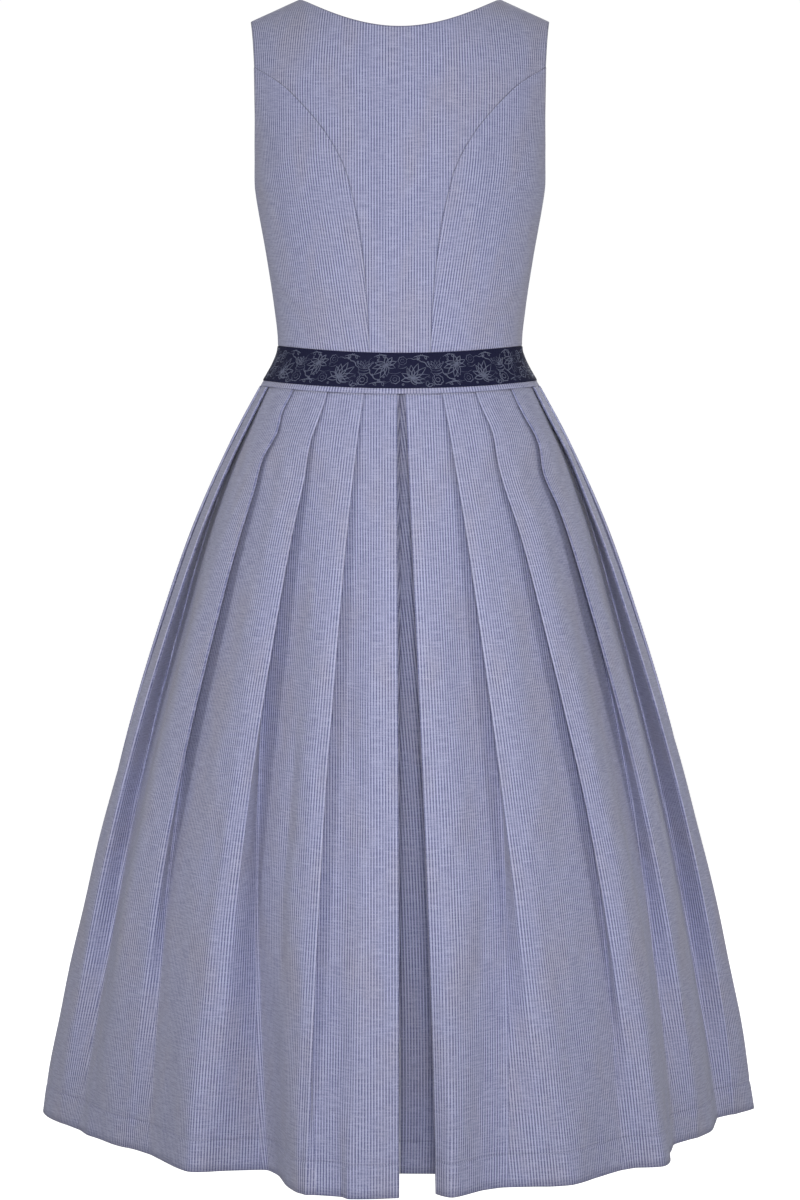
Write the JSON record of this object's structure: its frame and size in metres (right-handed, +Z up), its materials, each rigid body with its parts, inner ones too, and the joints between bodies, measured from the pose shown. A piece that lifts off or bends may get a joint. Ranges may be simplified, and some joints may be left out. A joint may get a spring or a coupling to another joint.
{
  "type": "dirndl dress",
  "caption": "Sleeveless pinstriped dirndl in worn form: princess-seamed bodice, patterned ribbon at the waist and a knife-pleated midi skirt.",
  "frame": {"origin": "the middle of the line between the shoulders, under the shoulder seams, where the wearer carries the dress", "axes": "+Z up along the wearer, +X to the wearer's right, +Y to the wearer's front, so the back faces -Y"},
  "size_m": [0.8087, 0.7745, 1.243],
  "materials": {
    "bodice_cotton": "matt cotton with fine vertical pinstripes in pale lavender and blue-grey",
    "skirt_cotton": "matt cotton with fine vertical pinstripes in pale lavender and blue-grey",
    "ribbon": "woven navy ribbon with steel-blue flower outlines",
    "buttons": "dull pewter, plain dished face"
  },
  "bodies": {
    "root": {"back_centre": "bodice_cotton", "side_back_left": "bodice_cotton", "side_back_right": "bodice_cotton", "front_left": "bodice_cotton", "front_right": "bodice_cotton", "side_front_left": "bodice_cotton", "side_front_right": "bodice_cotton", "button_1": "buttons", "button_2": "buttons", "button_3": "buttons", "button_4": "buttons", "button_5": "buttons", "button_6": "buttons", "button_7": "buttons", "waistband": "bodice_cotton", "ribbon": "ribbon", "skirt_back_left": "skirt_cotton", "skirt_front_left": "skirt_cotton", "skirt_back_right": "skirt_cotton", "skirt_front_right": "skirt_cotton"}
  },
  "joints": []
}
